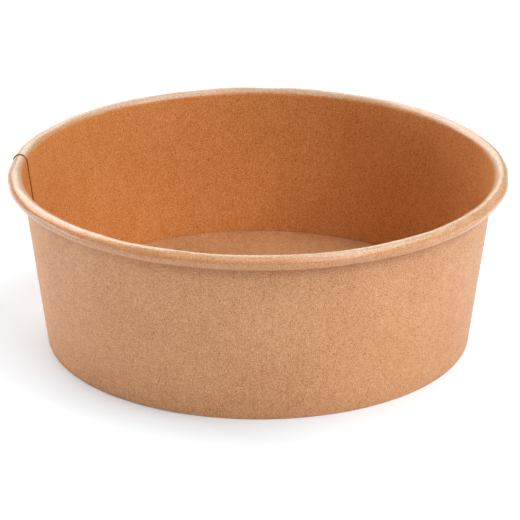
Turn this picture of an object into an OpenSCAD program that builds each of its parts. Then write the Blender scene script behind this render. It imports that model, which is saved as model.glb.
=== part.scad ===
// Kraft board salad bowl. The wall is one sheet wrapped into a cone: its ends lap at a side seam,
// its top margin is rolled outwards into the rim, and its bottom margin is folded up inside the
// foot, where it grips the skirt of the base. The bowl stands on the fold, with Z up.

/* [Bowl] */
// Diameter over the rolled rim
rim_d = 184; // [140:1:220]
// Height from the table to the top of the rim
height = 66; // [45:1:120]
// Lean of the wall from upright, in degrees
wall_lean = 7.2; // [3:0.1:12]

/* [Board] */
// Thickness of the wall's board
board_t = 0.45; // [0.35:0.01:0.5]
// Thickness of the base's board
base_t = 0.45; // [0.35:0.01:0.6]
// Clearance at each face where the base's skirt is sealed
seal_gap = 0.05; // [0.02:0.01:0.1]

/* [Rim] */
// Radius of the roll where it leaves the wall
roll_r = 2.8; // [2.6:0.05:4]
// How far the roll closes in over its first turn
roll_tuck = 1; // [0.95:0.05:1.3]
// Turns of board in the roll
roll_turns = 1.2; // [0.9:0.05:1.25]

/* [Side seam] */
// Direction of the inner ply's cut edge, in degrees counter-clockwise from +X
seam_angle = 173; // [0:1:359]
// Width of the lap
lap_w = 8; // [5:0.5:12]
// Degrees over which the sheet steps out to pass behind the inner ply
joggle_angle = 12; // [6:1:30]
// How far the two sealed plies are pressed into each other
lap_press = 0.03; // [0.02:0.01:0.06]
// Height of the foot, where the lap is ironed flat to a single thickness
ironed_h = 1; // [0.8:0.1:3]

/* [Foot] */
// Height of the margin folded up inside the foot
hem_h = 5.8; // [5:0.1:6.2]
// Inside radius of each bend in the fold
fold_r = 0.05; // [0.03:0.01:0.1]
// Height of the base's upper face above the table
base_rise = 8.9; // [8:0.1:12]
// Outside radius of the bend between the base and its skirt
base_bend_r = 1.2; // [0.8:0.1:1.25]

/* [Hidden] */
$fn = 240;
kraft = [0.80, 0.58, 0.40];
base_kraft = [0.77, 0.55, 0.37];

// Degrees between points on the roll
roll_step = 15;
// Stages in which the sheet steps out at the seam, each by less than 0.1 mm
joggle_stages = 6;
// Steps in each bend
bend_steps = 3;

// Places on a section are [radius, height]. A line of board is a list of [place, normal] pairs
// on the side that faces the food, and each normal points through the board. Where a line is cut
// level, the normal there is level too, and longer than 1.
function direction(a) = [cos(a), sin(a)];
function right_of(v) = [v.y, -v.x] / norm(v);
function smooth(x) = x * x * (3 - 2 * x);
function bend(centre, r, from, to) = [
    for (i = [0 : bend_steps])
        let (d = direction(from + (to - from) * i / bend_steps))
        [centre + r * d, d]
];

// Closed section of a line of board of thickness t, moved by shift along its normals
function section(line, t, shift = 0) = concat(
    [for (p = line) p[0] + p[1] * shift],
    [for (i = [len(line) - 1 : -1 : 0]) line[i][0] + line[i][1] * (shift + t)]
);

// The roll is a spiral that leaves the wall at a tangent and closes in on itself
roll_count = round(360 * roll_turns / roll_step);
function roll_radius(turn) = roll_r - roll_tuck * turn * turn;
function roll_dir(turn) = direction(180 - wall_lean - 360 * turn);
function roll_travel(turn) =
    2 * PI * roll_radius(turn) * [roll_dir(turn).y, -roll_dir(turn).x]
    - 2 * roll_tuck * turn * roll_dir(turn);
roll_turn = [for (i = [0 : roll_count]) roll_turns * i / roll_count];
roll_shape = [for (w = roll_turn) roll_radius(w) * roll_dir(w)];
roll_centre = [
    rim_d / 2 - max([for (p = roll_shape) p.x]),
    height - max([for (p = roll_shape) p.y])
];
roll_start = roll_centre + roll_shape[0];

// Radius of the wall's inside face at a height, and of a face parallel to it and further in
function inside_r(z, further = 0) =
    roll_start.x - (roll_start.y - z) * tan(wall_lean) - further / cos(wall_lean);

// The fold at the foot: two bends and a flat, as wide as the skirt that it grips
grip = base_t + 2 * seal_gap;
bend_z = board_t + fold_r;
wall_normal = direction(-wall_lean);
hem_normal = direction(180 - wall_lean);
level_cut = [[inside_r(ironed_h), ironed_h], [1 / cos(wall_lean), 0]];

foot_line = concat(
    [[[inside_r(hem_h, grip), hem_h], hem_normal]],
    bend([inside_r(bend_z, grip - fold_r), bend_z], fold_r, 180 - wall_lean, 270),
    bend([inside_r(bend_z, fold_r), bend_z], fold_r, -90, -wall_lean),
    [level_cut]
);
wall_line = concat(
    [level_cut],
    [for (w = roll_turn) [roll_centre + roll_radius(w) * roll_dir(w), right_of(roll_travel(w))]]
);

// The base is a disc whose margin is bent down into a skirt between the wall and the hem
skirt_end = bend_z + seal_gap;
base_bend_z = base_rise - base_bend_r;
base_line = concat(
    [[[0, base_rise], [0, -1]]],
    [for (i = [0 : bend_steps])
        let (a = 90 - (90 + wall_lean) * i / bend_steps, d = direction(a))
        [[inside_r(base_bend_z, seal_gap + base_bend_r), base_bend_z] + base_bend_r * d, -d]],
    [[[inside_r(skirt_end, seal_gap), skirt_end], -wall_normal]]
);

// The seam, in degrees: the lap's width is measured on the wall's middle
lap_angle = lap_w / inside_r(height / 2) * 180 / PI;
lap_shift = board_t - lap_press;
joggle_step = joggle_angle / joggle_stages;

// The sheet's section above the foot, turned about the axis between two directions
module sheet(from, to, shift = 0) {
    rotate_extrude(start = from, angle = to - from)
        polygon(section(wall_line, board_t, shift));
}

// One sheet of board: the round wall with its roll, the stages in which it steps out to pass
// behind its own cut edge, the outer ply of the lap, and the folded foot all round
module wall() {
    joggle_start = seam_angle + joggle_angle;
    color(kraft) {
        sheet(joggle_start - 360, seam_angle);
        for (i = [1 : joggle_stages])
            sheet(
                joggle_start - joggle_step * i,
                joggle_start - joggle_step * (i - 1),
                lap_shift * smooth(i / (joggle_stages + 1))
            );
        sheet(seam_angle - lap_angle, seam_angle, lap_shift);
        rotate_extrude()
            polygon(section(foot_line, board_t));
    }
}

// Disc with its skirt turned down
module base() {
    color(base_kraft)
        rotate_extrude()
            polygon(section(base_line, base_t));
}

wall();
base();
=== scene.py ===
"""Looks of the kraft board salad bowl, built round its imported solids.

The wall is one flat sheet of board that is wrapped into a cone, lapped at the side seam, rolled
outwards at the rim and folded up inside the foot. The base is a disc with its margin bent down.
Lengths are in metres unless a name says otherwise, and Z is up.
"""

import logging
import math
from dataclasses import dataclass, field
from enum import Enum
from typing import Iterable, Sequence

import bmesh
import bpy
from mathutils import Matrix, Vector, noise

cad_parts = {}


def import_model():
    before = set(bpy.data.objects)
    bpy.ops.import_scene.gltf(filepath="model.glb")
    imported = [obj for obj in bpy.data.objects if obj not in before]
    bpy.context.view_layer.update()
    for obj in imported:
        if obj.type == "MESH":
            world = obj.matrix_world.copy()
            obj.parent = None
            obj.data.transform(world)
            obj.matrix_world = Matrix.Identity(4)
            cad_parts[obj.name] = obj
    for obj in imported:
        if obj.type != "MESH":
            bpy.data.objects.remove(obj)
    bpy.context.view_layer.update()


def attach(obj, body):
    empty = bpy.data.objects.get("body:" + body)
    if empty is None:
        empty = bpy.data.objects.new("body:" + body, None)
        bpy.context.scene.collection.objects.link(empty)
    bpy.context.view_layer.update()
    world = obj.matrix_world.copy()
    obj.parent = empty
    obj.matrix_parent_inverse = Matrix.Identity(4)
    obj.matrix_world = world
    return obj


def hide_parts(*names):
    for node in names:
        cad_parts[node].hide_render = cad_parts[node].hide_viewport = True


LOG = logging.getLogger("salad_bowl")
MM = 0.001

Colour = tuple[float, float, float]
Socket = bpy.types.NodeSocket

# Names of the layers that the materials read from a mesh
SHEET_LAYER = "sheet"
# The second layer holds the share of painted shade under the roll, and of strain paling with
# painted highlight on it
STRAIN_AND_PAINTED_LIGHT_LAYER = "strain_and_painted_light"
# Lengths shorter than this count as none
HAIR = 0.01 * MM
# Noise hardly leaves this range
NOISE_SPAN = (0.2, 0.8)


class Face(Enum):
    """The faces of a stretch of board, in the order of its material slots."""

    FOOD = 0
    OUTSIDE = 1
    CUT = 2


class Stretch(Enum):
    """The stretches of a sheet, by the first of the material slots that each one takes."""

    FLAT = 0
    ROLLED = 3


def direction(degrees: float) -> Vector:
    """Unit vector at an angle on a section, as (radius, height)."""
    a = math.radians(degrees)
    return Vector((math.cos(a), math.sin(a)))


def smooth(x: float) -> float:
    """Smooth step from 0 to 1, level at both ends."""
    x = min(max(x, 0.0), 1.0)
    return x * x * (3 - 2 * x)


@dataclass(frozen=True)
class Swell:
    """Even, seeded unevenness, the same each time.

    Attributes:
        height: About how far it reaches either way, in the unit of what it is added to.
        pitch: Distance between one swell and the next.
        seed: Picks one of many such patterns.
    """

    height: float
    pitch: float
    seed: float

    def at(self, place: Sequence[float]) -> float:
        """Reads the pattern.

        Args:
            place: Where it is read, in two or three coordinates.

        Returns:
            The pattern's height there.
        """
        seed_steps = (17.3, -9.1, 3.7)
        spot = (*place, 0.0)[:3]
        return self.height * noise.noise(
            Vector([c / self.pitch + step * self.seed for c, step in zip(spot, seed_steps)])
        )


@dataclass(frozen=True)
class Kink:
    """A ridge along the roll, where the board buckles as it is curled.

    Attributes:
        turn: Turn of the roll that it lies on, before it wanders.
        seed: Picks its pattern.
        height: Its mean height.
        fade: Turns over which it falls off on either side.
    """

    turn: float
    seed: float
    height: float = 0.25 * MM
    fade: float = 0.07

    def rise(self, turn: float, ring: Sequence[float]) -> float:
        """How far the ridge stands out.

        Args:
            turn: Turn of the roll where it is read.
            ring: Place on the rim's circle, as (x, y).

        Returns:
            The distance along the board's normal.
        """
        wander = Swell(0.07, 22 * MM, self.seed).at(ring)
        waver = Swell(0.03, 8 * MM, self.seed + 0.5).at(ring)
        strength = self.height + Swell(0.20 * MM, 16 * MM, self.seed + 0.7).at(ring)
        return strength * math.exp(-abs(turn - self.turn - wander - waver) / self.fade)


@dataclass(frozen=True)
class Station:
    """One line round the bowl on the food side of a piece of board.

    Attributes:
        radius: Distance from the bowl's axis.
        height: Height above the table.
        out: Unit vector through the board, as (radius, height).
        run: Distance along the board from its first edge.
        part: Name of the stretch of the section that it lies on.
        turn: Turns travelled round the roll, and 0 elsewhere.
    """

    radius: float
    height: float
    out: Vector
    run: float = 0.0
    part: str = "wall"
    turn: float = 0.0


@dataclass
class BoardSizes:
    """Sizes that the wall and the base share, the same as the solids' own.

    Attributes:
        rim_d: Diameter over the rolled rim.
        height: Height from the table to the top of the rim.
        wall_lean: Lean of the wall from upright, in degrees.
        board_t: Thickness of the wall's board.
        base_t: Thickness of the base's board.
        seal_gap: Clearance at each face of the base's skirt.
        roll_r: Radius of the roll where it leaves the wall.
        roll_tuck: How far the roll closes in over its first turn.
        roll_turns: Turns of board in the roll.
        hem_h: Height of the margin folded up inside the foot.
        fold_r: Inside radius of the fold's bends.
        base_rise: Height of the base's upper face.
        base_bend_r: Outside radius of the bend in the base.
    """

    rim_d: float = 184 * MM
    height: float = 66 * MM
    wall_lean: float = 7.2
    board_t: float = 0.45 * MM
    base_t: float = 0.45 * MM
    seal_gap: float = 0.05 * MM
    roll_r: float = 2.8 * MM
    roll_tuck: float = 1.0 * MM
    roll_turns: float = 1.2
    hem_h: float = 5.8 * MM
    fold_r: float = 0.05 * MM
    base_rise: float = 8.9 * MM
    base_bend_r: float = 1.2 * MM

    def roll_radius(self, turn: float) -> float:
        """Radius of the roll's food side after some turns."""
        return self.roll_r - self.roll_tuck * turn * turn

    def roll_place(self, turn: float) -> Vector:
        """Place on the roll's food side, from the roll's centre."""
        return self.roll_radius(turn) * direction(180 - self.wall_lean - 360 * turn)

    @property
    def roll_centre(self) -> Vector:
        """Centre of the roll, so that it meets the rim's diameter and the bowl's height.

        Returns:
            The centre, as (radius, height).
        """
        shape = [self.roll_place(0.01 * i) for i in range(101)]
        return Vector((
            self.rim_d / 2 - max(p.x for p in shape),
            self.height - max(p.y for p in shape),
        ))

    @property
    def roll_start(self) -> Vector:
        """Where the roll leaves the wall's inside face."""
        return self.roll_centre + self.roll_place(0.0)

    def inside_r(self, z: float, further: float = 0.0) -> float:
        """Radius of the wall's inside face, or of a face parallel to it.

        Args:
            z: Height above the table.
            further: How far the parallel face lies inside the wall's.

        Returns:
            The radius at that height.
        """
        start = self.roll_start
        lean = math.radians(self.wall_lean)
        return start.x - (start.y - z) * math.tan(lean) - further / math.cos(lean)

    @property
    def grip(self) -> float:
        """Width of the fold at the foot, between its two food sides."""
        return self.base_t + 2 * self.seal_gap

    @property
    def bend_z(self) -> float:
        """Height of the centres of the fold's bends."""
        return self.board_t + self.fold_r


def measured(stations: Iterable[Station]) -> list[Station]:
    """Measures along the board.

    Args:
        stations: The stations on a section, from one edge of the board to the other.

    Returns:
        The same stations, each with its distance along the board from the first.
    """
    done: list[Station] = []
    run = 0.0
    for s in stations:
        if done:
            run += math.dist((s.radius, s.height), (done[-1].radius, done[-1].height))
        done.append(Station(s.radius, s.height, s.out, run, s.part, s.turn))
    return done


@dataclass(frozen=True)
class Cloud:
    """A layer of unevenness in the pulp or on its surface.

    Attributes:
        scale: Swells in a metre, along the sheet and across it.
        detail: How many finer swells ride on them.
        shift: Where the pattern is read, so that no two layers agree.
        share: How far the layer counts.
        rough: Strength of the finer swells.
    """

    scale: tuple[float, float]
    detail: float
    shift: float
    share: float = 1.0
    rough: float = 0.55


@dataclass(frozen=True)
class Fleck:
    """Dark flecks strewn through the pulp, at most one in each cell of the sheet.

    Attributes:
        scale: Cells in a metre, along the sheet and across it.
        reach: Radius of a fleck, as a share of its cell.
        rarity: Share of the cells that have none.
        darkest: How far the darkest fleck darkens the board.
        shift: Where the pattern is read.
    """

    scale: tuple[float, float]
    reach: float
    rarity: float
    darkest: float
    shift: float


PULP = (
    # Broad clouds, mottle and two sizes of grain
    Cloud((55, 40), 3.0, 2.0, 0.16),
    Cloud((300, 260), 1.0, 11.0, 0.16),
    Cloud((900, 820), 1.0, 23.0, 0.30),
    Cloud((2600, 2400), 1.0, 29.0, 0.95),
    # Faint streaks up the sheet, and fibres that lie either way
    Cloud((620, 60), 2.0, 5.0, 0.08),
    Cloud((5200, 620), 1.0, 57.0, 0.30),
    Cloud((620, 5200), 1.0, 83.0, 0.30),
)
BARK_FLECK = Fleck((170, 190), 0.055, 0.62, 0.85, 41.0)
SHIVE_FLECK = Fleck((420, 260), 0.10, 0.55, 0.45, 67.0)
FIBRE_RELIEF = Cloud((1500, 1100), 3.0, 5.0, rough=0.65)
MOTTLE_RELIEF = Cloud((600, 520), 3.0, 13.0, share=1.4, rough=0.6)
GLOSS_MOTTLE = Cloud((300, 260), 3.0, 31.0, share=0.05, rough=0.6)


@dataclass
class SheetNodes:
    """A material's nodes, all of them read on the board's own flat coordinates.

    Attributes:
        tree: The material's node tree.
        flat: The flat coordinates.
    """

    tree: bpy.types.NodeTree
    flat: Socket = field(init=False)

    def __post_init__(self) -> None:
        """Empties the tree and adds the flat coordinates."""
        self.tree.nodes.clear()
        self.flat = self.add("ShaderNodeUVMap", uv_map=SHEET_LAYER).outputs["UV"]

    def add(self, kind: str, **values: object) -> bpy.types.Node:
        """Adds a node.

        Args:
            kind: Blender's name for the kind of node.
            values: Attributes of the node.

        Returns:
            The node.
        """
        node = self.tree.nodes.new(kind)
        for key, value in values.items():
            setattr(node, key, value)
        return node

    def join(self, source: Socket, target: Socket) -> None:
        """Links one socket to another."""
        self.tree.links.new(source, target)

    def placed(self, scale: tuple[float, float], shift: float) -> Socket:
        """Scales and moves the flat coordinates.

        Args:
            scale: Cells or swells in a metre, along the sheet and across it.
            shift: Where the pattern is read.

        Returns:
            The changed coordinates.
        """
        across_share = 0.37
        place = self.add("ShaderNodeMapping")
        place.inputs["Scale"].default_value = (*scale, 1.0)
        place.inputs["Location"].default_value = (shift, shift * across_share, 0.0)
        self.join(self.flat, place.inputs["Vector"])
        return place.outputs["Vector"]

    def cloudy(self, cloud: Cloud) -> Socket:
        """Draws a layer of unevenness.

        Args:
            cloud: The layer.

        Returns:
            Its value, between 0 and 1.
        """
        node = self.add("ShaderNodeTexNoise", noise_dimensions="2D")
        node.inputs["Scale"].default_value = 1.0
        node.inputs["Detail"].default_value = cloud.detail
        node.inputs["Roughness"].default_value = cloud.rough
        self.join(self.placed(cloud.scale, cloud.shift), node.inputs["Vector"])
        return node.outputs["Fac"]

    def carried(self, value: Socket, source: Sequence[float], target: Sequence[float]) -> Socket:
        """Carries a value from one range to another and keeps it inside.

        Args:
            value: The value.
            source: The ends of the range that it comes from.
            target: The ends of the range that it goes to.

        Returns:
            The carried value.
        """
        change = self.add("ShaderNodeMapRange")
        change.inputs["From Min"].default_value, change.inputs["From Max"].default_value = source
        change.inputs["To Min"].default_value, change.inputs["To Max"].default_value = target
        self.join(value, change.inputs["Value"])
        return change.outputs["Result"]

    def combined(self, operation: str, a: Socket | float, b: Socket | float) -> Socket:
        """Reckons with two values.

        Args:
            operation: Blender's name for the sum.
            a: The first value.
            b: The second value.

        Returns:
            The result.
        """
        node = self.add("ShaderNodeMath", operation=operation)
        for socket, value in zip(node.inputs, (a, b)):
            if isinstance(value, float):
                socket.default_value = value
            else:
                self.join(value, socket)
        return node.outputs["Value"]

    def flecked(self, fleck: Fleck) -> Socket:
        """Strews flecks.

        Args:
            fleck: Their kind.

        Returns:
            What they leave of the board's lightness: 1 between them, less inside.
        """
        core = 0.55
        cells = self.add("ShaderNodeTexVoronoi", voronoi_dimensions="2D")
        cells.inputs["Scale"].default_value = 1.0
        self.join(self.placed(fleck.scale, fleck.shift), cells.inputs["Vector"])
        chance = self.add("ShaderNodeSeparateColor")
        self.join(cells.outputs["Color"], chance.inputs["Color"])
        near = self.carried(
            cells.outputs["Distance"], (fleck.reach * core, fleck.reach), (1.0, 0.0)
        )
        held = self.carried(chance.outputs["Red"], (fleck.rarity, 1.0), (0.0, fleck.darkest))
        return self.combined("SUBTRACT", 1.0, self.combined("MULTIPLY", near, held))


@dataclass(frozen=True)
class KraftBoard:
    """Brown kraft board: fibres, mottle and flecks under a matt or a filmed surface.

    Attributes:
        name: Name of the material.
        colour: Mean colour, linear.
        roughness: Mean roughness of the surface.
        specular: Strength of the surface's reflection, 0.5 being that of plastic film.
        strain_and_painted_light: Mean colour of the board's second tone, if it has one: strain
            paling with painted highlight on the roll, painted shade just under it.
        film: Strength of the sealing film's gloss over the board.
        film_roughness: Roughness of that film.
        swing: How far the pulp's thickness moves each channel.
        bump: Height of the fibre relief.
    """

    name: str
    colour: Colour
    roughness: float
    specular: float
    strain_and_painted_light: Colour | None = None
    film: float = 0.0
    film_roughness: float = 0.4
    swing: Colour = (0.26, 0.45, 0.62)
    bump: float = 0.03 * MM

    def toned(self, depth: float) -> tuple[float, float, float, float]:
        """The colour where the pulp is thicker, at -1, or thinner, at 1."""
        return (*(c * (1 + depth * swing) for c, swing in zip(self.colour, self.swing)), 1.0)

    def paint(self, nodes: SheetNodes) -> Socket:
        """Paints the pulp: denser pulp is darker and redder, and the board's second tone, strain
        paling and painted light, has its own colour.

        Args:
            nodes: The material's nodes.

        Returns:
            The board's colour.
        """
        depth: Socket | float = 0.0
        for cloud in PULP:
            layer = nodes.carried(nodes.cloudy(cloud), NOISE_SPAN, (-cloud.share, cloud.share))
            depth = nodes.combined("ADD", depth, layer)
        tone = nodes.add("ShaderNodeMix", data_type="RGBA", clamp_factor=False)
        nodes.join(nodes.carried(depth, (-1.0, 1.0), (0.0, 1.0)), tone.inputs["Factor"])
        tone.inputs["A"].default_value = self.toned(-1.0)
        tone.inputs["B"].default_value = self.toned(1.0)
        painted = tone.outputs["Result"]
        # Second tone: painted shade under the roll, or strain paling with painted highlight over
        # the roll's top
        if self.strain_and_painted_light:
            changed = nodes.add("ShaderNodeVectorMath", operation="MULTIPLY")
            changed.inputs[1].default_value = [b / a for a, b in zip(self.colour, self.strain_and_painted_light)]
            nodes.join(painted, changed.inputs[0])
            share = nodes.add("ShaderNodeAttribute", attribute_name=STRAIN_AND_PAINTED_LIGHT_LAYER)
            mixed = nodes.add("ShaderNodeMix", data_type="RGBA")
            nodes.join(share.outputs["Fac"], mixed.inputs["Factor"])
            nodes.join(painted, mixed.inputs["A"])
            nodes.join(changed.outputs["Vector"], mixed.inputs["B"])
            painted = mixed.outputs["Result"]
        left = nodes.combined("MULTIPLY", nodes.flecked(BARK_FLECK), nodes.flecked(SHIVE_FLECK))
        tint = nodes.add("ShaderNodeVectorMath", operation="SCALE")
        nodes.join(painted, tint.inputs[0])
        nodes.join(left, tint.inputs["Scale"])
        return tint.outputs["Vector"]

    def relief(self, nodes: SheetNodes) -> Socket:
        """Raises the fibres.

        Args:
            nodes: The material's nodes.

        Returns:
            The surface's normal.
        """
        mottle = nodes.combined("MULTIPLY", nodes.cloudy(MOTTLE_RELIEF), MOTTLE_RELIEF.share)
        bump = nodes.add("ShaderNodeBump")
        bump.inputs["Distance"].default_value = self.bump
        bump.inputs["Strength"].default_value = 1.0
        nodes.join(
            nodes.combined("ADD", nodes.cloudy(FIBRE_RELIEF), mottle), bump.inputs["Height"]
        )
        return bump.outputs["Normal"]

    def build(self) -> bpy.types.Material:
        """Makes the material.

        Returns:
            The finished material.
        """
        made = bpy.data.materials.new(self.name)
        made.use_nodes = True
        nodes = SheetNodes(made.node_tree)
        shader = nodes.add("ShaderNodeBsdfPrincipled")
        shader.inputs["Specular IOR Level"].default_value = self.specular
        nodes.join(self.paint(nodes), shader.inputs["Base Color"])
        least, most = self.roughness - GLOSS_MOTTLE.share, self.roughness + GLOSS_MOTTLE.share
        rough = nodes.carried(nodes.cloudy(GLOSS_MOTTLE), (0.3, 0.7), (least, most))
        nodes.join(rough, shader.inputs["Roughness"])
        normal = self.relief(nodes)
        nodes.join(normal, shader.inputs["Normal"])
        if self.film:
            shader.inputs["Coat Weight"].default_value = self.film
            shader.inputs["Coat Roughness"].default_value = self.film_roughness
            nodes.join(normal, shader.inputs["Coat Normal"])
        out = nodes.add("ShaderNodeOutputMaterial")
        nodes.join(shader.outputs["BSDF"], out.inputs["Surface"])
        return made


FOOD_BOARD = KraftBoard(
    "kraft_food_side", (0.53, 0.212, 0.066), roughness=0.7, specular=0.1,
    swing=(0.24, 0.46, 0.78),
)
# The film over the roll is glossy; its pale band is strain paling and also painted highlight on the
# roll's top
ROLLED_BOARD = KraftBoard(
    "kraft_rolled", (0.53, 0.212, 0.066), roughness=0.42, specular=0.4,
    strain_and_painted_light=(0.456, 0.302, 0.187), film=0.5, film_roughness=0.16, swing=(0.26, 0.42, 0.6),
)
# Painted shade: the outside is darkened just under the roll, for the shadow there
OUTER_BOARD = KraftBoard(
    "kraft_outside", (0.555, 0.257, 0.111), roughness=0.55, specular=0.45,
    strain_and_painted_light=(0.435, 0.175, 0.063), swing=(0.3, 0.5, 0.69),
)
# The cut edge is dark: the raw core's brown, and painted shade along the seam's step
CUT_BOARD = KraftBoard("kraft_cut_edge", (0.22, 0.09, 0.04), roughness=0.9, specular=0.1)
BASE_BOARD = KraftBoard(
    "kraft_base", (0.42, 0.202, 0.088), roughness=0.55, specular=0.3, swing=(0.44, 0.66, 0.85),
)


@dataclass
class BoardPiece:
    """A piece of board: a curved surface given its thickness on the side away from the food.

    Attributes:
        name: Name of the piece.
        node: Name of the solid that it stands for.
        slot: Material slot in the record; not used.
        thickness: Thickness of the board.
        finishes: The finish of each face, in the order of the Face names, for each stretch.
    """

    name: str
    node: str
    slot: str
    thickness: float
    finishes: tuple[KraftBoard, ...]

    def finish(self, bm: bmesh.types.BMesh) -> bpy.types.Object:
        """Makes the surface an object, dressed, with its thickness as a modifier.

        Args:
            bm: The food side, its faces pointing at the food.

        Returns:
            The finished piece, in place of its solid.
        """
        mesh = bpy.data.meshes.new(self.name)
        bm.to_mesh(mesh)
        bm.free()
        mesh.shade_smooth()
        piece = bpy.data.objects.new(self.name, mesh)
        bpy.context.scene.collection.objects.link(piece)
        for finish in self.finishes:
            mesh.materials.append(bpy.data.materials.get(finish.name) or finish.build())
        board = piece.modifiers.new("board", "SOLIDIFY")
        board.thickness = self.thickness
        board.offset = -1.0
        board.use_even_offset = False
        board.material_offset = Face.OUTSIDE.value
        board.material_offset_rim = Face.CUT.value
        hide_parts(self.node)
        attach(piece, "root")
        return piece


@dataclass
class Wall(BoardPiece):
    """The wrapped sheet: hem, foot, wall, and the roll at the rim.

    Attributes:
        sizes: Sizes shared with the base.
        seam_angle: Direction of the inner ply's cut edge, in degrees.
        lap_w: Width of the lap.
        lap_press: How far the sealed plies are pressed into each other.
        joggle_angle: Degrees over which the sheet steps out behind the inner ply.
        ironed_h: Height of the foot that is ironed flat at the lap.
        columns: Steps round the bowl.
        hem_rows: Rows on the hem.
        bend_rows: Rows on each bend of the foot.
        wall_rows: Rows on the wall, up to the painted shade strip.
        painted_shade_rows: Rows on the painted shade strip.
        roll_rows: Rows on a turn of the roll.
        clear_z: Lift that keeps the fold's thickness off the table.
        rib_count: Ribs ironed into the hem.
        rib_depth: Depth of those ribs.
        rib_z: Heights between which they stand.
        rib_fade: Height over which they die away at either end.
        painted_shade_h: How far the painted shade strip under the roll reaches down from the top of
            the rim.
        painted_shade_fade: Height over which it fades in.
        painted_shade_edge: How its edge wanders.
        film_turn: Turn of the roll from which its film is glossy, and pale from strain and painted
            highlight.
        film_start: How that turn wanders.
        pale_turn: Turn of the roll down to which the film is pale, on the mean.
        pale_oval: How far that turn changes round the bowl, twice in a round.
        pale_narrow: Direction in which the pale band is narrowest, in degrees.
        pale_edge: How the band's border wanders.
        pale_strength: How the band's strength changes round the bowl.
        pale_rest: How far the film is still pale below the band.
        sway: How the whole wall strays from round.
        wall_wave: How the wall's surface strays from true.
        rim_waves: How the roll's top strays from level.
        pleats: Broad pleats in the roll.
        fine_pleats: Fine pleats in the roll.
        kinks: Ridges along the roll.
    """

    sizes: BoardSizes = field(default_factory=BoardSizes)
    seam_angle: float = 173.0
    lap_w: float = 8 * MM
    lap_press: float = 0.03 * MM
    joggle_angle: float = 12.0
    ironed_h: float = 1 * MM
    columns: int = 600
    hem_rows: int = 6
    bend_rows: int = 5
    wall_rows: int = 11
    painted_shade_rows: int = 4
    roll_rows: int = 40
    clear_z: float = 0.02 * MM
    rib_count: int = 155
    rib_depth: float = 0.07 * MM
    rib_z: tuple[float, float] = (1.2 * MM, 5.6 * MM)
    rib_fade: float = 1 * MM
    painted_shade_h: float = 10.5 * MM
    painted_shade_fade: float = 5 * MM
    painted_shade_edge: Swell = Swell(0.4 * MM, 9 * MM, 15.0)
    film_turn: float = 0.03
    film_start: Swell = Swell(0.02, 12 * MM, 13.0)
    pale_turn: float = 0.33
    pale_oval: float = 0.06
    pale_narrow: float = 240.0
    pale_edge: tuple[Swell, ...] = (Swell(0.05, 26 * MM, 11.0), Swell(0.03, 8 * MM, 12.0))
    pale_strength: Swell = Swell(0.3, 35 * MM, 14.0)
    pale_rest: float = 0.2
    sway: Swell = Swell(0.25 * MM, 60 * MM, 1.0)
    wall_wave: Swell = Swell(0.10 * MM, 17 * MM, 2.0)
    rim_waves: tuple[Swell, ...] = (Swell(0.22 * MM, 24 * MM, 3.0), Swell(0.10 * MM, 9 * MM, 4.0))
    pleats: Swell = Swell(0.15 * MM, 12 * MM, 5.0)
    fine_pleats: Swell = Swell(0.05 * MM, 2.2 * MM, 6.0)
    kinks: tuple[Kink, ...] = (Kink(0.22, 8.0), Kink(0.44, 9.0))

    def foot_stations(self) -> list[Station]:
        """Stations on the hem and on the two bends of the fold.

        Returns:
            The stations, from the hem's edge to the foot of the wall.
        """
        s = self.sizes
        lean, bend_z = s.wall_lean, s.bend_z
        found: list[Station] = []
        for i in range(self.hem_rows + 1):
            z = s.hem_h + (bend_z - s.hem_h) * i / self.hem_rows
            found.append(Station(s.inside_r(z, s.grip), z, direction(180 - lean), part="hem"))
        inner = Vector((s.inside_r(bend_z, s.grip - s.fold_r), bend_z))
        outer = Vector((s.inside_r(bend_z, s.fold_r), bend_z))
        for centre, first, last in ((inner, 180 - lean, 270.0), (outer, 270.0, 360 - lean)):
            for i in range(self.bend_rows + 1):
                out = direction(first + (last - first) * i / self.bend_rows)
                place = centre + s.fold_r * out
                if math.dist(place, (found[-1].radius, found[-1].height)) > 0.2 * HAIR:
                    found.append(Station(place.x, place.y, out, part="foot"))
        return found

    def roll_stations(self) -> list[Station]:
        """Stations on the roll.

        Returns:
            The stations, from where it leaves the wall to the edge inside it.
        """
        s = self.sizes
        steps = round(self.roll_rows * s.roll_turns)
        found: list[Station] = []
        for i in range(1, steps + 1):
            turn = s.roll_turns * i / steps
            place = s.roll_centre + s.roll_place(turn)
            travel = s.roll_place(turn + 0.001) - s.roll_place(turn - 0.001)
            out = Vector((travel.y, -travel.x)).normalized()
            found.append(Station(place.x, place.y, out, part="roll", turn=turn))
        return found

    def section(self) -> list[Station]:
        """Stations on the sheet's section, from the hem's edge to the end inside the roll.

        Returns:
            The stations, each with its distance along the sheet.
        """
        s = self.sizes
        found = self.foot_stations()
        # Rows on the wall, then on the painted shade strip under the roll
        painted_shade_z, roll_z = s.height - self.painted_shade_h, s.roll_start.y
        for low, high, count in (
            (s.bend_z, painted_shade_z, self.wall_rows),
            (painted_shade_z, roll_z, self.painted_shade_rows),
        ):
            for i in range(1, count + 1):
                z = low + (high - low) * i / count
                found.append(Station(s.inside_r(z), z, direction(-s.wall_lean)))
        return measured(found + self.roll_stations())

    @property
    def lap_angle(self) -> float:
        """Degrees that the lap takes up."""
        return math.degrees(self.lap_w / self.sizes.inside_r(self.sizes.height / 2))

    def ring(self, around: float) -> tuple[float, float]:
        """Place on the rim's circle, in a direction in degrees."""
        a, rim = math.radians(around), self.sizes.rim_d / 2
        return (rim * math.cos(a), rim * math.sin(a))

    def step_out(self, travelled: float, height: float) -> float:
        """How far the sheet lies behind the inner ply, after some degrees of its wrap.

        Args:
            travelled: Degrees from the inner ply's cut edge.
            height: Height above the table.

        Returns:
            The distance along the board's normal.
        """
        left = 360 - travelled
        full = self.sizes.board_t - self.lap_press
        risen = smooth((height - 0.3 * self.ironed_h) / (1.2 * self.ironed_h))
        return full * risen * smooth(1 - left / self.joggle_angle)

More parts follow.
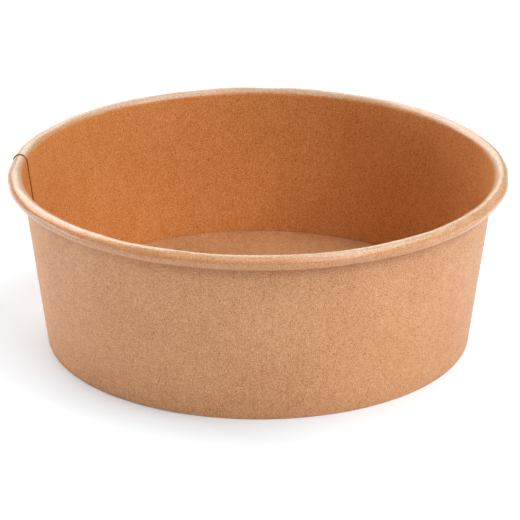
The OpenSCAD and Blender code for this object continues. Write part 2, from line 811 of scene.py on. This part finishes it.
    def uneven(self, station: Station, around: float) -> tuple[float, float]:
        """How far the hand of the machine left this place from its true one.

        Args:
            station: The line round the bowl.
            around: Direction from the axis, in degrees.

        Returns:
            The change of radius and of height.
        """
        base_seal, roll_growth, side_share = 6 * MM, 0.2, 0.5
        ring = self.ring(around)
        aloft = smooth(station.height / self.sizes.height)
        sway = self.sway.at(ring) * aloft
        waves = self.wall_wave.at((*ring, station.height)) * aloft
        if station.part != "roll":
            inside = smooth((station.height - self.sizes.base_rise) / base_seal)
            return (sway + waves * inside, 0.0)
        lift = smooth(station.turn / roll_growth) * sum(wave.at(ring) for wave in self.rim_waves)
        return (sway + waves + side_share * lift, lift)

    def crease(self, station: Station, around: float) -> float:
        """How far the roll is pushed in or out through the board, where the curl pleats it.

        Args:
            station: The line round the bowl.
            around: Direction from the axis, in degrees.

        Returns:
            The distance along the board's normal.
        """
        held = smooth(station.turn / 0.12) * smooth((0.95 - station.turn) / 0.2)
        if held == 0.0:
            return 0.0
        ring = self.ring(around)
        across = station.turn * math.tau * self.sizes.roll_r
        broad = self.pleats.at((*ring, 2.6 * across))
        fine = self.fine_pleats.at((*ring, 0.5 * across))
        return held * (broad + fine + sum(kink.rise(station.turn, ring) for kink in self.kinks))

    def strain_and_painted_light(self, station: Station, around: float) -> float:
        """How far the board takes its second tone.

        The outside is darkened just under the roll: painted shade for the shadow there. Over the
        top of the roll the film is pale down to a wavy border: strain paling, and also painted
        highlight on the roll's top.

        Args:
            station: The line round the bowl.
            around: Direction from the axis, in degrees.

        Returns:
            The share, from 0 to about 1.
        """
        start_fade, border_fade, mean_strength = 0.07, 0.035, 0.85
        ring = self.ring(around)
        if station.part != "roll":
            # Painted shade on the outside just under the roll, for the shadow there
            strip_z = self.sizes.height - self.painted_shade_h - self.painted_shade_edge.at(ring)
            return smooth((station.height - strip_z) / self.painted_shade_fade)
        # On the roll: strain paling, with painted highlight over the roll's top, wider or narrower
        # round the bowl
        oval = self.pale_oval * math.cos(2 * math.radians(around - self.pale_narrow))
        border = self.pale_turn - oval + sum(edge.at(ring) for edge in self.pale_edge)
        strength = mean_strength + self.pale_strength.at(ring)
        band = strength * smooth((border - station.turn) / border_fade + 0.5)
        begun = smooth((station.turn - self.film_turn - self.film_start.at(ring)) / start_fade)
        return begun * (self.pale_rest + (1 - self.pale_rest) * band)

    def rib(self, height: float, around: float) -> float:
        """How far the ironed ribs press the hem outwards.

        Args:
            height: Height above the table.
            around: Direction from the axis, in degrees.

        Returns:
            The change of radius.
        """
        low, high = self.rib_z
        faded = smooth((height - low) / self.rib_fade) * smooth((high - height) / self.rib_fade)
        wave = math.cos(math.radians(around) * self.rib_count)
        return self.rib_depth * faded * 0.5 * (1 + wave)

    def wrapped(self, station: Station, travelled: float) -> Vector:
        """Carries a place on the flat sheet to the bowl.

        Args:
            station: The line round the bowl.
            travelled: Degrees from the inner ply's cut edge.

        Returns:
            The place.
        """
        around = self.seam_angle - travelled
        shift = self.step_out(travelled, station.height) - self.crease(station, around)
        wide, high = self.uneven(station, around)
        radius = station.radius + station.out.x * shift + wide
        height = station.height + station.out.y * shift + high
        if station.part == "foot":
            height += self.clear_z
        if station.part == "hem":
            radius += self.rib(station.height, around)
        a = math.radians(around)
        return Vector((radius * math.cos(a), radius * math.sin(a), height))

    def build(self) -> bpy.types.Object:
        """Cuts the flat sheet, wraps it and gives it its board.

        Returns:
            The wall.
        """
        section = self.section()
        rows = len(section) - 1
        bm = bmesh.new()
        bmesh.ops.create_grid(bm, x_segments=self.columns, y_segments=rows, size=0.5)
        sheet = bm.loops.layers.uv.new(SHEET_LAYER)
        strain_and_painted_light = bm.verts.layers.float.new(STRAIN_AND_PAINTED_LIGHT_LAYER)
        whole = 360 + self.lap_angle
        flat_r = self.sizes.inside_r(self.sizes.height / 2)
        flat: dict[bmesh.types.BMVert, tuple[float, float]] = {}
        for vert in bm.verts:
            station = section[round((vert.co.y + 0.5) * rows)]
            travelled = whole * (vert.co.x + 0.5)
            flat[vert] = (math.radians(travelled) * flat_r, station.run)
            # Share of the second tone: painted shade under the roll, strain paling and painted
            # highlight on it
            vert[strain_and_painted_light] = self.strain_and_painted_light(station, self.seam_angle - travelled)
            vert.co = self.wrapped(station, travelled)
        roll_run = min(s.run for s in section if s.turn > self.film_turn) - HAIR
        for face in bm.faces:
            for loop in face.loops:
                loop[sheet].uv = flat[loop.vert]
            if min(flat[vert][1] for vert in face.verts) > roll_run:
                face.material_index = Stretch.ROLLED.value
        return self.finish(bm)


@dataclass
class Base(BoardPiece):
    """The disc, with its margin bent down into the skirt that the foot grips.

    Attributes:
        sizes: Sizes shared with the wall.
        columns: Steps round the disc.
        disc_rows: Rows from the centre to the bend.
        bend_rows: Rows on the bend.
        skirt_rows: Rows on the skirt.
        warp: How the disc strays from flat.
        warp_share: Share of the disc's radius within which it does so fully.
        warp_fade: Share over which that dies away.
    """

    sizes: BoardSizes = field(default_factory=BoardSizes)
    columns: int = 240
    disc_rows: int = 30
    bend_rows: int = 6
    skirt_rows: int = 3
    warp: Swell = Swell(0.12 * MM, 45 * MM, 7.0)
    warp_share: float = 0.8
    warp_fade: float = 0.17

    def section(self) -> list[Vector]:
        """Places on the food side of the disc.

        Returns:
            The places, from the disc's centre to the skirt's edge.
        """
        s = self.sizes
        bend_z = s.base_rise - s.base_bend_r
        centre = Vector((s.inside_r(bend_z, s.seal_gap + s.base_bend_r), bend_z))
        places = [
            Vector((centre.x * i / self.disc_rows, s.base_rise)) for i in range(self.disc_rows)
        ]
        for i in range(self.bend_rows + 1):
            out = direction(90 - (90 + s.wall_lean) * i / self.bend_rows)
            places.append(centre + s.base_bend_r * out)
        start, end = places[-1].y, s.bend_z + s.seal_gap
        for i in range(1, self.skirt_rows + 1):
            z = start + (end - start) * i / self.skirt_rows
            places.append(Vector((s.inside_r(z, s.seal_gap), z)))
        return places

    def build(self) -> bpy.types.Object:
        """Spins the section into the disc and its skirt.

        Returns:
            The base.
        """
        merge = 0.001 * MM
        bm = bmesh.new()
        line = [bm.verts.new((p.x, 0.0, p.y)) for p in self.section()]
        edges = [bm.edges.new(pair) for pair in zip(line, line[1:])]
        bmesh.ops.spin(
            bm, geom=line + edges, cent=(0, 0, 0), axis=(0, 0, 1),
            angle=math.tau, steps=self.columns, use_merge=True,
        )
        bmesh.ops.remove_doubles(bm, verts=bm.verts, dist=merge)
        bmesh.ops.recalc_face_normals(bm, faces=bm.faces)
        if max(bm.faces, key=lambda f: f.calc_center_median().z).normal.z < 0:
            bmesh.ops.reverse_faces(bm, faces=bm.faces)
        sheet = bm.loops.layers.uv.new(SHEET_LAYER)
        for face in bm.faces:
            for loop in face.loops:
                loop[sheet].uv = loop.vert.co.xy
        flat_r = self.sizes.inside_r(self.sizes.base_rise)
        for vert in bm.verts:
            reach = vert.co.xy.length / flat_r
            if vert.co.z > self.sizes.base_rise - HAIR:
                faded = 1 - smooth((reach - self.warp_share) / self.warp_fade)
                vert.co.z += faded * self.warp.at(vert.co.xy)
        return self.finish(bm)


@dataclass(frozen=True)
class Panel:
    """A soft light: a plain rectangle that faces the bowl.

    Attributes:
        name: Name of the light.
        azimuth: Direction that it stands in, in degrees counter-clockwise from +X.
        elevation: Its height above the table, in degrees.
        size: Its width and its height.
        power: Its power in watts.
        distance: How far it stands from the bowl.
    """

    name: str
    azimuth: float
    elevation: float
    size: tuple[float, float]
    power: float
    distance: float = 1.5

    def build(self) -> None:
        """Hangs the light."""
        bowl_middle = Vector((0, 0, 30 * MM))
        lamp = bpy.data.lights.new(self.name, "AREA")
        lamp.shape = "RECTANGLE"
        lamp.size, lamp.size_y = self.size
        lamp.energy = self.power
        held = bpy.data.objects.new(self.name, lamp)
        bpy.context.scene.collection.objects.link(held)
        a, e = math.radians(self.azimuth), math.radians(self.elevation)
        away = Vector((math.cos(a) * math.cos(e), math.sin(a) * math.cos(e), math.sin(e)))
        held.location = away * self.distance + bowl_middle
        held.rotation_mode = "QUATERNION"
        held.rotation_quaternion = (-away).to_track_quat("-Z", "Y")


STRIP, SQUARE, WIDE = (1.1, 0.25), (1.0, 1.0), (1.1, 1.1)


@dataclass
class Studio:
    """The plain pale floor, the soft light and the camera.

    Attributes:
        panels: The soft lights.
        sky: Strength of the light from all round.
        floor_shade: Colour of the floor, linear.
        floor_reach: Half of the floor's width.
        pitch: How far the camera looks down, in degrees.
        distance: How far the camera stands from the point that it looks at.
        aim_height: Height of that point.
        lens: Focal length in millimetres, for a sensor 36 wide.
        shift: The frame's shift, as a share of its width.
        roll: The camera's turn about its view, in degrees.
    """

    panels: tuple[Panel, ...] = (
        Panel("right_low", 0.0, 4.0, STRIP, 3.3),
        Panel("right_top", 0.0, 64.0, SQUARE, 14.6),
        Panel("back", 90.0, 38.0, WIDE, 9.8),
        Panel("back_left", 135.0, 38.0, WIDE, 17.3),
        Panel("left_low", 180.0, 4.0, STRIP, 6.8),
        Panel("front_left_top", 240.0, 64.0, SQUARE, 5.0),
        Panel("front_right", 315.0, 38.0, WIDE, 15.5),
    )
    sky: float = 0.0
    floor_shade: Colour = (0.83, 0.90, 0.95)
    floor_reach: float = 12.0
    pitch: float = 21.93
    distance: float = 1.0
    aim_height: float = 33.1 * MM
    lens: float = 185.5
    shift: tuple[float, float] = (0.0033, -0.0235)
    roll: float = 0.13

    def build_floor(self) -> None:
        """Lays the floor."""
        bm = bmesh.new()
        bmesh.ops.create_grid(bm, x_segments=1, y_segments=1, size=self.floor_reach)
        mesh = bpy.data.meshes.new("floor")
        bm.to_mesh(mesh)
        bm.free()
        floor = bpy.data.objects.new("floor", mesh)
        bpy.context.scene.collection.objects.link(floor)
        pale = bpy.data.materials.new("pale_floor")
        pale.use_nodes = True
        shader = pale.node_tree.nodes["Principled BSDF"]
        shader.inputs["Base Color"].default_value = (*self.floor_shade, 1.0)
        shader.inputs["Roughness"].default_value = 0.9
        shader.inputs["Specular IOR Level"].default_value = 0.1
        mesh.materials.append(pale)

    def build_light(self) -> None:
        """Hangs the soft lights and sets the light from all round."""
        for panel in self.panels:
            panel.build()
        world = bpy.data.worlds.new("studio")
        world.use_nodes = True
        glow = world.node_tree.nodes["Background"]
        glow.inputs["Color"].default_value = (1.0, 1.0, 1.0, 1.0)
        glow.inputs["Strength"].default_value = self.sky
        bpy.context.scene.world = world
        bpy.context.scene.view_settings.view_transform = "Standard"

    def build_camera(self) -> None:
        """Sets the camera where the photograph's stood."""
        lens = bpy.data.cameras.new("camera")
        lens.lens = self.lens
        lens.sensor_width = 36.0
        lens.shift_x, lens.shift_y = self.shift
        lens.dof.use_dof = False
        lens.clip_start, lens.clip_end = 0.05, 50.0
        camera = bpy.data.objects.new("camera", lens)
        bpy.context.scene.collection.objects.link(camera)
        p = math.radians(self.pitch)
        away = Vector((0.0, -math.cos(p), math.sin(p)))
        camera.location = away * self.distance + Vector((0, 0, self.aim_height))
        look = (-away).to_track_quat("-Z", "Y").to_matrix().to_4x4()
        turn = Matrix.Rotation(math.radians(self.roll), 4, "Z")
        camera.rotation_euler = (look @ turn).to_euler()
        bpy.context.scene.camera = camera

    def build(self) -> None:
        """Sets up the floor, the light and the camera."""
        self.build_floor()
        self.build_light()
        self.build_camera()


def main() -> None:
    """Builds the studio and the bowl."""
    logging.basicConfig(level=logging.INFO, format="%(name)s: %(message)s")
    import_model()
    Studio().build()
    sizes = BoardSizes()
    flat = (FOOD_BOARD, OUTER_BOARD, CUT_BOARD)
    rolled = (ROLLED_BOARD, OUTER_BOARD, CUT_BOARD)
    base = (BASE_BOARD, OUTER_BOARD, CUT_BOARD)
    pieces = (
        Wall("wall_sheet", "wall", "wall_board", sizes.board_t, flat + rolled, sizes),
        Base("base_disc", "base", "base_board", sizes.base_t, base, sizes),
    )
    for piece in pieces:
        built = piece.build()
        LOG.info("%s: %d faces", built.name, len(built.data.polygons))


if __name__ == "__main__":
    main()
